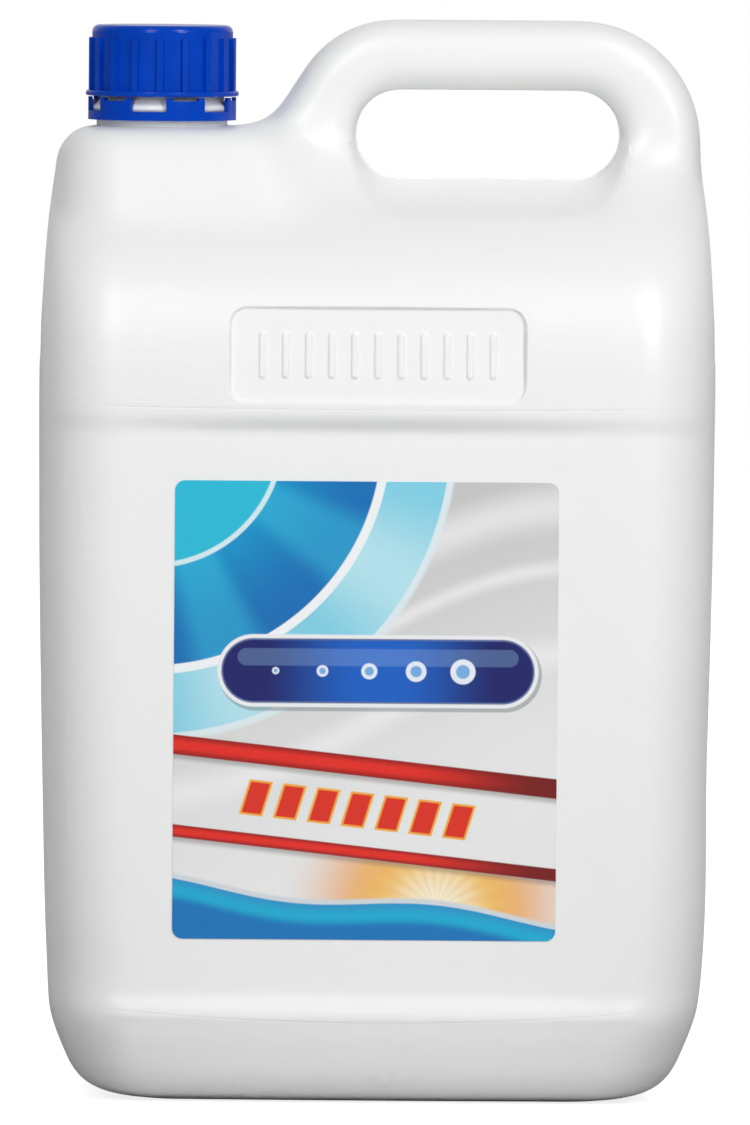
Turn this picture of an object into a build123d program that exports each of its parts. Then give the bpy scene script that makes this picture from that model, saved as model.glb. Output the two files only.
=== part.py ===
from build123d import *
from itertools import pairwise
import math
import os

# Five litre bleach bottle: a blow-moulded bottle with a hollow handle over its right shoulder,
# a ribbed screw cap with a tamper band over its left shoulder, and a label on each flat panel.
# Millimetres, +Z up. The origin is the middle of the footprint, on the surface the bottle
# stands on. The label panel with the moulded plate above it faces -Y; the neck is towards -X.

# Bottle body
body_width = 188.6            # widest place, level with the top of the label panel
foot_width = 181.0            # where the walls meet the rounded base edge
body_depth = 127.2            # over the middle of the front and back
body_corner = 24.0            # upright corners
body_bulge = 3.2              # how far front and back swell past the flat label panels
bulge_least = 0.1             # swell left on the panels and where the body is narrowest
base_round = 25.0             # height of the rounded edge between walls and base
hill_start = 206.0            # where front and back begin to curve in to the handle
body_top = 268.0              # where that curve has turned upright again, inside the handle
waist_height = 194.2          # mould line where the label panels end
panel_ramp = 7.4              # height of the soft step above and below a panel
top_width = 172.0             # width of the body's buried top
wall = 1.3                    # blown wall
push_up = 1.6                 # how far the base is set up inside its standing rim
push_draft = 40.0             # degrees, slope of that step
rim_width = 9.0               # flat rim the bottle stands on

# Shoulder block under the neck
shoulder_height = 271.2
shoulder_left = 90.0          # from the middle to its left end
shoulder_right = 21.0         # from the middle to its right end, inside the handle's foot
shoulder_depth = 54.0
shoulder_corner = 20.0
shoulder_round = 10.5
shoulder_root = 226.0         # buried lower end of the block
shoulder_root_left = 92.8     # its ends there, from the middle
shoulder_root_right = -2.0
shoulder_root_depth = 104.0
shoulder_root_corner = 26.0

# Handle, seen from the front
bottle_height = 301.6
handle_depth = 33.0
handle_round = 8.8            # roundness of its edges, front and back
handle_toe = 31.5             # from the middle to where its slope leaves the shoulder
handle_peak = 12.0            # from the middle to where its slope would meet the top
handle_right = 91.2           # outer side of its right leg, at the foot
handle_lean = 1.7             # how much that side leans in, up to the top
handle_root = 236.0           # buried lower end of the legs
handle_root_left = 52.0       # left end of the buried root, from the middle
toe_round = 10.0
peak_round = 30.0
crown_corner = 34.0           # large round corner over the right leg
hole_width = 74.6
hole_middle = 30.6            # from the bottle's middle to the hole's middle
hole_bottom = 257.0
hole_height = 25.3
sill_drop = 11.5              # how far the hole's sill falls to the front and back
sill_reach = 46.0             # over this distance from the middle
sill_flare = 1.5              # how much wider the hole is there, each side

# Moulded plate
plate_width = 81.5
plate_height = 26.2
plate_bottom = 196.4
plate_corner = 4.5
plate_inset = 1.2
plate_draft = 15.0            # degrees, lean of the plate's short walls
grip_rib_count = 11
grip_rib_height = 12.6        # upright ribs felt by hand, on the plate
grip_rib_width = 1.5
grip_rib_rise = 0.6
grip_rib_root = 0.4           # how far a rib is rooted in the plate
grip_rib_span = 64.0

# Neck
neck_middle = 61.0            # from the bottle's middle to the neck's axis, towards -X
neck_bore = 30.0
neck_diameter = 34.9          # between the threads
collar_diameter = 36.8
bead_diameter = 38.8          # ring that holds the tamper band down
bead_bottom = 4.3             # above the shoulder
bead_height = 2.2
bead_slope = 0.9              # sloped upper edge that the band springs over
lip_round = 0.5

# Thread, on the neck and in the cap
pitch = 4.233
thread_turns = 1.5
thread_depth = 1.1
thread_root = 2.3
thread_crest = 1.1
thread_start = 11.2           # above the shoulder, first turn's middle
thread_bury = 0.4             # how far a thread is rooted in its wall

# Cap
cap_diameter = 39.6
cap_bore = 37.7
flange_diameter = 43.0
flange_height = 1.5
cap_rib_height = 14.8
cap_crown = 3.6               # plain height above the ribs
cap_roof = 1.6
cap_edge = 1.9                # rounded upper edge
flange_edge = 0.5
cap_rib_count = 18
cap_rib_width = 1.7
cap_rib_rise = 1.0
cap_rib_root = 0.5            # how far a rib is rooted in the cap's wall
cap_turn_back = 1.3           # degrees, from the front to the nearest rib
liner_thickness = 1.0
liner_clearance = 0.45

# Tamper band
band_diameter = 41.6
band_clearance = 1.8          # above the shoulder
band_height = 5.5
band_gap = 1.2                # between band and cap
band_play = 0.2               # between band and bead
break_gap = 0.3               # what is left between each broken bridge and the cap
hook_height = 1.2             # inner lip that hooks under the bead
hook_play = 0.3
bridge_width = 1.9
bridge_root = 0.3
window_count = 6
window_height = 3.0
window_angle = 28.0           # degrees
window_turn = -10.2           # degrees from the front, positive towards +X
bridge_angle = 16.8           # degrees, from a window's middle to the bridge beside it

# Labels and contents
label_width = 106.5
label_height = 127.5
label_corner = 2.8
label_bottom = 46.9
label_shift = 2.7             # the front label sits this far towards the neck
label_film = 0.2
fill_height = 246.3           # level of the bleach
fill_gap = 0.3                # between bleach and wall

overrun = 5.0                 # cuts run this far past what they cut

# Shapes chosen by eye, as shares of the sizes they follow
base_height_shares = (0.0, 0.034, 0.09, 0.168, 0.302, 0.47, 0.694, 0.896)
base_pull_shares = (1.022, 0.798, 0.596, 0.445, 0.305, 0.204, 0.103, 0.036)
base_corner_share = 0.45      # corner radius left at the very bottom
panel_height_shares = (0.0, 0.1, 0.25, 0.5, 0.75, 0.9, 1.0)
ramp_height_shares = (0.0, 0.14, 0.28, 0.43, 0.57, 0.71, 0.85, 1.0)
ramp_inset_shares = (0.0, 0.034, 0.138, 0.324, 0.57, 0.804, 0.948, 1.0)
hill_height_shares = (0.0, 0.13, 0.26, 0.39, 0.5, 0.6, 0.68, 0.75, 0.82, 0.89, 0.95, 1.0)
hill_depth_shares = (1.0, 0.985, 0.94, 0.85, 0.73, 0.58, 0.435, 0.3, 0.185, 0.09, 0.03, 0.0)
hill_width_shares = (0.0, 0.03, 0.067, 0.115, 0.15, 0.2, 0.25, 0.31, 0.39, 0.53, 0.72, 1.0)
hill_corner_share = 0.5       # corner radius left at the top of the body
fit_share = 0.002             # keeps a slot's ends just short of a full half circle


# Body: rounded sections stacked from the base to the foot of the handle
def body_section(height, half_width, half_depth, corner, bulge):
    side = half_depth - bulge
    left, right = -half_width, half_width
    outline = [
        ThreePointArc((left, -side), (0, -half_depth), (right, -side)),
        Line((right, -side), (right, side)),
        ThreePointArc((right, side), (0, half_depth), (left, side)),
        Line((left, side), (left, -side)),
    ]
    face = make_face(outline)
    face = fillet(face.vertices(), corner)
    return Plane.XY.offset(height) * face


def base_profile():
    return [(pull_share * base_round, height_share * base_round)
            for pull_share, height_share in zip(base_pull_shares, base_height_shares)]


def base_sections(inset):
    sections = []
    profile = base_profile() + [(0, base_round)]
    floor = push_up if inset else 0
    for index, (pull, height) in enumerate(profile[:-1]):
        before, after = profile[max(index - 1, 0)], profile[index + 1]
        along = Vector(before[0] - after[0], after[1] - before[1]).normalized()
        pull += inset * along.Y
        lifted = floor * (1 - height / base_round) + height + inset * along.X
        ease = 1 - (1 - base_corner_share) * pull / base_round
        sections.append(body_section(lifted, foot_width / 2 - pull, body_depth / 2 - pull,
                                     body_corner * ease - inset, body_bulge * ease + bulge_least))
    return sections


def wall_section(height, sunk_share, inset):
    rest = (hill_start - height) / (hill_start - base_round)
    half_width = (body_width - rest * rest * (body_width - foot_width)) / 2
    half_depth = body_depth / 2 - sunk_share * body_bulge
    return body_section(height, half_width - inset, half_depth - inset, body_corner - inset,
                        body_bulge * (1 - sunk_share) + bulge_least)


# Front and back swell, and sink to a flat label panel between two soft steps
def wall_stacks(inset):
    steps = list(zip(ramp_height_shares, ramp_inset_shares))
    low, high = base_round + panel_ramp, waist_height - panel_ramp
    return [
        [wall_section(base_round + share * panel_ramp, sunk, inset) for share, sunk in steps],
        [wall_section(low + share * (high - low), 1, inset) for share in panel_height_shares],
        [wall_section(waist_height - share * panel_ramp, sunk, inset) for share, sunk in reversed(steps)],
        [wall_section(waist_height, 0, inset), wall_section(hill_start, 0, inset)],
    ]


def hill_profile():
    rise, fall = body_top - hill_start, (body_depth - handle_depth) / 2
    return [(handle_depth / 2 + depth_share * fall, hill_start + height_share * rise)
            for height_share, depth_share in zip(hill_height_shares, hill_depth_shares)]


def half_depth_at(height):
    for (low_depth, low), (high_depth, high) in pairwise(hill_profile()):
        if low <= height <= high:
            return low_depth + (high_depth - low_depth) * (height - low) / (high - low)
    return body_depth / 2


def hill_sections(inset):
    sections = []
    profile = hill_profile()
    for index, (half_depth, height) in enumerate(profile):
        before, after = profile[max(index - 1, 0)], profile[min(index + 1, len(profile) - 1)]
        along = Vector(after[0] - before[0], after[1] - before[1]).normalized()
        width_share = hill_width_shares[index]
        half_width = (body_width + width_share * (top_width - body_width)) / 2
        corner = body_corner * (1 - (1 - hill_corner_share) * width_share)
        sections.append(body_section(height + inset * along.X, half_width - inset,
                                     half_depth - inset * along.Y, corner - inset,
                                     body_bulge * hill_depth_shares[index] + bulge_least))
    return sections


def body(inset):
    stacks = wall_stacks(inset)
    form = loft(base_sections(inset) + [stacks[0][0]])
    for stack in stacks:
        form += loft(stack)
    return form + loft([stacks[-1][-1]] + hill_sections(inset)[1:])


# Shoulder block that carries the neck, wider at its buried root
def shoulder_plan(height, left, right, depth, corner, inset):
    plan = RectangleRounded(left - right - 2 * inset, depth - 2 * inset, corner - inset)
    return Plane.XY.offset(height) * Pos(-(left + right) / 2, 0) * plan


def shoulder(inset):
    root = shoulder_plan(shoulder_root, shoulder_root_left, shoulder_root_right,
                         shoulder_root_depth, shoulder_root_corner, inset)
    deck = shoulder_plan(shoulder_height - inset, shoulder_left, shoulder_right,
                         shoulder_depth, shoulder_corner, inset)
    block = loft([root, deck])
    return fillet(block.faces().sort_by(Axis.Z)[-1].edges(), shoulder_round - inset)


# Handle: its front outline, pushed through to its depth, with the hand hole left open
def hole_outline(grow):
    end = hole_height * (1 - fit_share) / 2 + grow
    return Pos(hole_middle, hole_bottom + hole_height / 2) * RectangleRounded(
        hole_width + 2 * grow, hole_height + 2 * grow, end)


def handle_outline(inset):
    points = [
        (-handle_root_left, handle_root),
        (-handle_root_left, shoulder_height),
        (-handle_toe, shoulder_height),
        (-handle_peak, bottle_height),
        (handle_right - handle_lean, bottle_height),
        (handle_right, handle_root),
    ]
    face = make_face(Polyline(*points, close=True))
    face = fillet(nearest(face.vertices(), points[2]), toe_round)
    face = fillet(nearest(face.vertices(), points[3]), peak_round)
    face = fillet(nearest(face.vertices(), points[4]), crown_corner)
    return offset(face, -inset) if inset else face


def nearest(vertices, point):
    return vertices.sort_by_distance((point[0], point[1], 0))[0]


def handle(inset):
    outline = handle_outline(inset) - hole_outline(inset)
    half = handle_depth / 2 - inset
    bar = extrude(Plane.XZ * outline, half, both=True)
    rims = bar.faces().filter_by(Axis.Y)
    edges = [edge for rim in rims for edge in rim.edges()
             if edge.center().Z > handle_root + handle_round]
    return fillet(edges, handle_round - inset)


# The sill of the hand hole falls away to the front and the back
def sill_cutter(inset):
    near = Plane.XZ * hole_outline(inset)
    deep = hole_height + sill_drop
    wide = Pos(hole_middle, hole_bottom + hole_height - deep / 2) * RectangleRounded(
        hole_width + 2 * sill_flare + 2 * inset, deep + 2 * inset, hole_height / 2 + inset)
    far = Plane.XZ.offset(sill_reach) * wide
    front = loft([near, far])
    return front + mirror(front, Plane.XZ)


# Sunk plate above the front panel, leaning as the wall leans there
def plate_plane():
    top = plate_bottom + plate_height
    low_depth, high_depth = half_depth_at(plate_bottom), half_depth_at(top)
    middle = (0, -(low_depth + high_depth) / 2, (plate_bottom + top) / 2)
    up = Vector(0, low_depth - high_depth, plate_height).normalized()
    return Plane(origin=middle, x_dir=(1, 0, 0), z_dir=Vector(1, 0, 0).cross(up))


def plate_cutter(inset):
    plan = RectangleRounded(plate_width + 2 * inset, plate_height + 2 * inset, plate_corner + inset)
    floor = plate_plane().offset(-plate_inset - inset)
    return extrude(floor * plan, plate_inset + inset + overrun, taper=-plate_draft)


def grip_ribs():
    step = grip_rib_span / (grip_rib_count - 1)
    slot = Rot(0, 0, 90) * SlotOverall(grip_rib_height, grip_rib_width)
    floor = plate_plane().offset(-plate_inset - grip_rib_root)
    bars = []
    for index in range(grip_rib_count):
        place = index * step - grip_rib_span / 2
        bars.append(extrude(floor * Pos(place, 0) * slot, grip_rib_root + grip_rib_rise))
    return bars


# Step in the base, inside the rim that the bottle stands on
def base_pocket():
    side = base_profile()[0][0] + rim_width
    plan = RectangleRounded(foot_width - 2 * side, body_depth - 2 * side,
                            body_corner * base_corner_share)
    return extrude(plan, push_up, taper=push_draft)


def bottle_form(inset):
    form = body(inset) + shoulder(inset) + handle(inset)
    return form - sill_cutter(inset) - plate_cutter(inset)


# Closure heights, worked up from the shoulder
band_bottom = shoulder_height + band_clearance
band_top = band_bottom + band_height
cap_bottom = band_top + band_gap
rib_bottom = cap_bottom + flange_height
cap_top = rib_bottom + cap_rib_height + cap_crown
lip_top = cap_top - cap_roof - liner_thickness
bead_start = shoulder_height + bead_bottom
neck_axis = Pos(-neck_middle, 0, 0)


def disc(radius, bottom, top):
    return extrude(Plane.XY.offset(bottom) * Circle(radius), top - bottom)


def tube(outer_radius, inner_radius, bottom, top):
    return disc(outer_radius, bottom, top) - disc(inner_radius, bottom, top)


# One ridge of a right-hand thread, rooted in the wall it grows from
def thread(wall_radius, depth, bottom):
    path = Pos(0, 0, bottom) * Helix(pitch, pitch * thread_turns, wall_radius)
    outward = math.copysign(1, depth)
    points = [
        (-outward * thread_bury, -thread_root / 2),
        (0, -thread_root / 2),
        (depth, -thread_crest / 2),
        (depth, thread_crest / 2),
        (0, thread_root / 2),
        (-outward * thread_bury, thread_root / 2),
    ]
    start = Plane(origin=path @ 0, x_dir=(1, 0, 0), z_dir=path % 0)
    return sweep(start * make_face(Polyline(*points, close=True)), path=path, is_frenet=True)


# Neck with its bead and thread
def neck():
    bead_top = bead_start + bead_height
    collar, bead, outside = collar_diameter / 2, bead_diameter / 2, neck_diameter / 2
    profile = [
        (0, shoulder_height - wall / 2),
        (collar, shoulder_height - wall / 2),
        (collar, bead_start),
        (bead, bead_start),
        (bead, bead_top - bead_slope),
        (collar, bead_top),
        (outside, bead_top + collar - outside),
        (outside, lip_top),
        (0, lip_top),
    ]
    face = make_face(Polyline(*profile, close=True))
    face = fillet(nearest(face.vertices(), profile[7]), lip_round)
    post = revolve(Plane.XZ * face, Axis.Z)
    return post + thread(outside, thread_depth, shoulder_height + thread_start)


def bottle():
    form = bottle_form(0) + neck_axis * neck()
    bore = disc(neck_bore / 2, shoulder_height - shoulder_round, lip_top + overrun)
    form = form - bottle_form(wall) - neck_axis * bore - base_pocket()
    return form + grip_ribs()


# Bleach inside the bottle, up to its level
def bleach():
    gap = wall + fill_gap
    level = Box(body_width, body_depth, fill_height, align=(Align.CENTER, Align.CENTER, Align.MIN))
    return (body(gap) - sill_cutter(gap) - plate_cutter(gap)) & level


# Screw cap
def cap():
    outside = cap_diameter / 2
    shell = disc(outside, cap_bottom, cap_top)
    shell = fillet(shell.faces().sort_by(Axis.Z)[-1].edges(), cap_edge)
    flange = disc(flange_diameter / 2, cap_bottom, rib_bottom)
    flange = fillet(flange.edges().filter_by(GeomType.CIRCLE), flange_edge)
    shell = shell + flange
    reach = cap_rib_root + cap_rib_rise
    rib = Box(reach, cap_rib_width, cap_rib_height + cap_rib_root,
              align=(Align.MAX, Align.CENTER, Align.MIN))
    for index in range(cap_rib_count):
        turn = index * 360 / cap_rib_count - 90 - cap_turn_back
        shell += Rot(0, 0, turn) * Pos(outside + cap_rib_rise, 0, rib_bottom - cap_rib_root) * rib
    shell -= disc(cap_bore / 2, cap_bottom - overrun, lip_top + liner_thickness)
    half_turn_up = shoulder_height + thread_start + pitch / 2
    shell += thread(cap_bore / 2, -thread_depth, half_turn_up)
    return neck_axis * shell


def cap_liner():
    radius = cap_bore / 2 - liner_clearance
    return neck_axis * disc(radius, lip_top, lip_top + liner_thickness)


# Tamper band, with its bridges to the cap broken
def tamper_band():
    outside, inside = band_diameter / 2, bead_diameter / 2 + band_play
    ring = tube(outside, inside, band_bottom, band_top)
    hook_top = bead_start - hook_play
    ring += tube(outside, collar_diameter / 2 + hook_play, hook_top - hook_height, hook_top)
    window = sector(window_angle, band_top - window_height, band_top + overrun)
    half_bridge = bridge_width / 2
    for index in range(window_count):
        turn = index * 360 / window_count - 90 + window_turn
        ring -= Rot(0, 0, turn) * window
        for side in (-1, 1):
            post = Box(outside, bridge_width, band_gap - break_gap + bridge_root,
                       align=(Align.MIN, Align.CENTER, Align.MIN))
            post = Rot(0, 0, turn + side * bridge_angle) * Pos(0, 0, band_top - bridge_root) * post
            ring += post & tube(outside, inside, band_bottom, cap_bottom)
    return neck_axis * ring


def sector(angle, bottom, top):
    reach = band_diameter
    half = math.radians(angle / 2)
    points = [(0, 0), (reach * math.cos(half), -reach * math.sin(half)),
              (reach * math.cos(half), reach * math.sin(half))]
    face = make_face(Polyline(*points, close=True))
    return extrude(Plane.XY.offset(bottom) * face, top - bottom)


# Labels on the flat panels
def label(shift, facing):
    flat = body_depth / 2 - body_bulge
    plan = RectangleRounded(label_width, label_height, label_corner)
    film = extrude(Plane.XZ.offset(flat) * Pos(shift, label_bottom + label_height / 2) * plan,
                   label_film)
    return film if facing < 0 else mirror(film, Plane.XZ)


parts = {
    "bottle": bottle(),
    "bleach": bleach(),
    "cap": cap(),
    "cap_liner": cap_liner(),
    "tamper_band": tamper_band(),
    "front_label": label(-label_shift, -1),
    "back_label": label(0, 1),
}

os.makedirs("parts", exist_ok=True)
for name, shape in parts.items():
    export_step(shape, f"parts/{name}.step")
    print(name, len(shape.solids()), round(shape.volume))
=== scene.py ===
# %% [markdown]
# # A five litre bleach bottle
# The frame comes first: every solid of the model arrives with its real size and place, in metres, with
# +Z up and the front of the bottle towards -Y.

# %% Load the frame
import math
import bmesh
import bpy
import numpy as np
from mathutils import Euler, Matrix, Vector


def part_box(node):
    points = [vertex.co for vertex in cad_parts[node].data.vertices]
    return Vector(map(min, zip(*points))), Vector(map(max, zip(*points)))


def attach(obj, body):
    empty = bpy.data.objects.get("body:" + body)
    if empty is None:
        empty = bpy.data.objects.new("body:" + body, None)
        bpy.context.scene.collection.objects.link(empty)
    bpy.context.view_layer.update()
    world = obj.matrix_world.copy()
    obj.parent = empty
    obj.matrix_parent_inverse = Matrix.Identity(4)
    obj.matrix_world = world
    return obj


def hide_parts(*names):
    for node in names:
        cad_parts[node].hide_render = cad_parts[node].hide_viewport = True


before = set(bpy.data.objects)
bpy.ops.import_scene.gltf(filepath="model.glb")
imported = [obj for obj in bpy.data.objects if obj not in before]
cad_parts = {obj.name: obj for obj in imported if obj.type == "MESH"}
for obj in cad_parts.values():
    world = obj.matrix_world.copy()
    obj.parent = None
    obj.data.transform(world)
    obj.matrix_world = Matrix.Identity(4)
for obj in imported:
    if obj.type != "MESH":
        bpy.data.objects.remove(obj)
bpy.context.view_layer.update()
MM = 0.001
scene = bpy.context.scene

# %% [markdown]
# ## Camera
# The photograph is taken from about four metres away with a long lens, a little above the cap, so the
# sides of the bottle hardly converge. A pinhole camera was fitted to the bottle's outline: its eye is
# 366 mm above the floor and it looks down by three degrees. The camera is turned instead of shifted,
# which keeps the lens shift at nothing.

# %% Camera
EYE_DISTANCE = 4.0
EYE_HEIGHT = 0.366
EYE_YAW = math.radians(0.24)          # the eye stands this far towards the neck
FRAME_WIDTH, FRAME_HEIGHT = 750, 1125
FOCAL_PIXELS = 14217.4
AHEAD_COLUMN, HORIZON_ROW = 375.4, -210.0
ROLL = math.radians(0.46)
SENSOR = 36.0
NEAREST, FARTHEST = 0.1, 100.0


def make_camera():
    lens = bpy.data.cameras.new("camera")
    lens.sensor_fit = "VERTICAL"
    lens.sensor_height = lens.sensor_width = SENSOR
    pitch = math.atan((FRAME_HEIGHT / 2 - HORIZON_ROW) / FOCAL_PIXELS)
    turn = math.atan((FRAME_WIDTH / 2 - AHEAD_COLUMN) / FOCAL_PIXELS)
    lens.lens = lens.sensor_height * FOCAL_PIXELS / FRAME_HEIGHT
    lens.clip_start, lens.clip_end = NEAREST, FARTHEST
    eye = bpy.data.objects.new("camera", lens)
    scene.collection.objects.link(eye)
    eye.location = (-EYE_DISTANCE * math.sin(EYE_YAW), -EYE_DISTANCE * math.cos(EYE_YAW), EYE_HEIGHT)
    aim = Euler((math.radians(90) - pitch, 0, -EYE_YAW - turn)).to_matrix()
    eye.rotation_euler = (aim @ Euler((0, 0, ROLL)).to_matrix()).to_euler()
    scene.camera = eye
    print("lens", round(lens.lens, 1), "mm, looking down", round(math.degrees(pitch), 2), "degrees")


make_camera()

# %% [markdown]
# ## Shader sums written as Python
# A material is a small network of nodes, and most of it is plain arithmetic on places and masks. Two
# classes keep it readable. `Finish` holds a network: its `node` method takes a node's type, its settings
# and what its sockets hold, and adds any node there is. Colours are laid over each other with `mix`,
# because a Math node would turn them grey.


# %% A finish and its nodes
class Finish:
    """The network of a material or of the world."""

    def __init__(self, owner, out="ShaderNodeOutputMaterial"):
        owner.use_nodes = True
        self.owner, self.tree = owner, owner.node_tree
        self.tree.nodes.clear()
        self.out = self.tree.nodes.new(out)

    def node(self, kind, settings=None, sockets=None, output=0):
        node = self.tree.nodes.new(kind)
        for name, value in (settings or {}).items():
            setattr(node, name, value)
        pairs = sockets.items() if isinstance(sockets, dict) else enumerate(sockets or [])
        for name, value in pairs:
            self.plug(node.inputs[name], value)
        return Tone(self, node.outputs[output])

    def plug(self, socket, value):
        if isinstance(value, Tone):
            self.tree.links.new(value.socket, socket)
        elif value is not None:
            socket.default_value = value

    def mix(self, mask, under, over):
        return self.node("ShaderNodeMix", {"data_type": "RGBA"}, {0: mask, 6: under, 7: over}, 2)

    def place(self, output="Object"):
        """Where a point lies, as one vector and as its x, y and z."""
        spot = self.node("ShaderNodeTexCoord", output=output)
        axes = [self.node("ShaderNodeSeparateXYZ", None, [spot], axis) for axis in range(3)]
        return spot, axes

    def stretched(self, spot, x, y, z):
        return self.node("ShaderNodeVectorMath", {"operation": "MULTIPLY"}, [spot, (x, y, z)])

    def noise(self, spot, scale, detail=2.0, rough=0.5):
        return self.node("ShaderNodeTexNoise", None,
                         {"Vector": spot, "Scale": scale, "Detail": detail, "Roughness": rough})

    def bump(self, height, reach=MM):
        return self.node("ShaderNodeBump", None, {"Height": height, "Distance": reach, "Strength": 1.0})

    def ends_in(self, shader, socket="Surface"):
        self.tree.links.new(shader.socket, self.out.inputs[socket])
        return self.owner

    def surface(self, sockets):
        return self.ends_in(self.node("ShaderNodeBsdfPrincipled", None, sockets))


def new_finish(name):
    return Finish(bpy.data.materials.new(name))


trial = new_finish("trial")
print("a new finish has", len(trial.tree.nodes), "node, its output")

# %% [markdown]
# `Tone` wraps one output socket and overloads Python's operators, so that `1 - mask` or
# `ripple * 0.2` adds the Math node it needs. Its `rise` is the workhorse of every print and mould line
# below: a smooth step from 0 to 1 between two values.


# %% Sums on a socket
class Tone:
    """One output socket. Sums on it add Math nodes."""

    def __init__(self, finish, socket):
        self.finish, self.socket = finish, socket

    def sum(self, operation, *values):
        return self.finish.node("ShaderNodeMath", {"operation": operation}, values)

    def __add__(self, other):
        return self.sum("ADD", self, other)

    __radd__ = __add__

    def __sub__(self, other):
        return self.sum("SUBTRACT", self, other)

    def __rsub__(self, other):
        return self.sum("SUBTRACT", other, self)

    def __mul__(self, other):
        return self.sum("MULTIPLY", self, other)

    __rmul__ = __mul__

    def __truediv__(self, other):
        return self.sum("DIVIDE", self, other)

    def __pow__(self, other):
        return self.sum("POWER", self, other)

    def __abs__(self):
        return self.sum("ABSOLUTE", self)

    def most(self, other):
        return self.sum("MAXIMUM", self, other)

    def sine(self):
        return self.sum("SINE", self)

    def rise(self, start, end):
        """0 before start, 1 past end, with a smooth step between."""
        return self.finish.node("ShaderNodeMapRange", {"interpolation_type": "SMOOTHSTEP"},
                                {"Value": self, "From Min": start, "From Max": end})

    def line(self, middle, half_width):
        """1 on a thin line at middle, 0 past half_width from it."""
        return 1 - abs(self - middle).rise(half_width * CORE_SHARE, half_width)


CORE_SHARE = 0.3                      # share of a line's half width that is at full strength
_, (trial_x, _, _) = trial.place()
print("1 - x * 2 ends in a", (1 - trial_x * 2).socket.node.operation, "node")
bpy.data.materials.remove(trial.owner)

# %% [markdown]
# Colours are easiest to choose as they look on a screen, from 0 to 255. A shader works in linear light,
# so each is turned into that first.


# %% Colours as seen on a screen
def shade(red, green, blue):
    def linear(value):
        value /= 255
        return value / 12.92 if value <= 0.04045 else ((value + 0.055) / 1.055) ** 2.4
    return (linear(red), linear(green), linear(blue), 1.0)


print("white plastic is", [round(v, 3) for v in shade(244, 245, 244)[:3]])

# %% [markdown]
# ## The bottle's skin
# A blown bottle has no sharp inner corners: the plastic is drawn over every corner of the mould, so the
# handle runs into the shoulder and the shoulder into the walls in soft hollows. The solid has these
# meetings as creases. Rounding each crease by hand would be long, and a bevel can't follow edges
# that fade out. Instead the outer skin is rebuilt as an even, fine mesh and relaxed many times, and
# only what the relaxing adds is kept, so hollows fill and the outline stays.
#
# First the outer faces are told apart from the neck and the inside wall. They are reached by walking
# from face to face from the lowest point, with the neck as the barrier.

# %% Outer faces of the solid
NECK_X = -0.061
NECK_REACH = 0.0205                   # above the shoulder, what is nearer to the axis is the neck's
SHOULDER_TOP = 0.2712
WELD = 1e-6                           # points nearer to each other than this are one
COLLAR_RADIUS = 0.0184


def joined_form(node):
    form = bmesh.new()
    form.from_mesh(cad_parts[node].data)
    bmesh.ops.remove_doubles(form, verts=form.verts, dist=WELD)
    return form


def from_neck(point):
    return math.hypot(point.x - NECK_X, point.y)


def neck_faces(form):
    faces = []
    for face in form.faces:
        middle = face.calc_center_median()
        if middle.z > SHOULDER_TOP + 0.05 * MM and from_neck(middle) < NECK_REACH:
            faces.append(face)
    return faces


def outer_faces(form, without):
    """Every face reached from the lowest point without crossing the neck."""
    barred = set(without)
    start = min(form.verts, key=lambda vert: vert.co.z).link_faces[0]
    seen, front = {start}, [start]
    while front:
        for edge in front.pop().edges:
            for face in edge.link_faces:
                if face not in seen and face not in barred:
                    seen.add(face)
                    front.append(face)
    return seen


solid = joined_form("bottle")
print("of", len(solid.faces), "faces", len(neck_faces(solid)), "are the neck's")
solid.free()

# %% [markdown]
# The outer faces become an object of their own. A voxel remesh needs a closed form, so the round gap
# that the neck leaves is closed with a disc, which comes out again at the end.

# %% Outer skin as one closed shell
def object_from(form, name):
    mesh = bpy.data.meshes.new(name)
    form.to_mesh(mesh)
    form.free()
    piece = bpy.data.objects.new(name, mesh)
    scene.collection.objects.link(piece)
    return piece


def outer_shell():
    form = joined_form("bottle")
    keep = outer_faces(form, neck_faces(form))
    bmesh.ops.delete(form, geom=[face for face in form.faces if face not in keep], context="FACES")
    rim = [edge for edge in form.edges if len(edge.link_faces) == 1]
    bmesh.ops.holes_fill(form, edges=rim, sides=0)
    bmesh.ops.triangulate(form, faces=form.faces)
    return object_from(form, "shell")


shell = outer_shell()
print("shell:", len(shell.data.polygons), "faces")

# %% [markdown]
# `shaped` is the small tool for every modifier here: it adds modifiers, reads the mesh they give and
# takes them off again. The shell is remeshed at 0.8 mm. The plate and its grip ribs have edges sharper
# than that, so the mesh is divided three times finer there, and then every point is pulled onto the
# shell, which brings the plate's edges back.

# %% Even skin, finer round the plate
VOXEL = 0.8 * MM
PLATE_HALF_WIDTH = 43.5 * MM
PLATE_LOW, PLATE_HIGH = 0.1938, 0.2252
PLATE_FRONT = -0.03


def shaped(piece, *modifiers):
    """The piece's mesh after these modifiers, which aren't kept on it."""
    made = []
    for kind, settings in modifiers:
        modifier = piece.modifiers.new(kind, kind)
        for name, value in settings.items():
            setattr(modifier, name, value)
        made.append(modifier)
    depsgraph = bpy.context.evaluated_depsgraph_get()
    mesh = bpy.data.meshes.new_from_object(piece.evaluated_get(depsgraph))
    for modifier in made:
        piece.modifiers.remove(modifier)
    return mesh


def near_plate(point):
    level = PLATE_LOW < point.z < PLATE_HIGH
    return level and abs(point.x) < PLATE_HALF_WIDTH and point.y < PLATE_FRONT


def refine_plate(piece):
    form = bmesh.new()
    form.from_mesh(piece.data)
    edges = [edge for edge in form.edges if all(near_plate(vert.co) for vert in edge.verts)]
    bmesh.ops.subdivide_edges(form, edges=edges, cuts=2, use_grid_fill=True)
    for face in form.faces:
        face.smooth = True
    form.to_mesh(piece.data)
    form.free()


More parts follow.
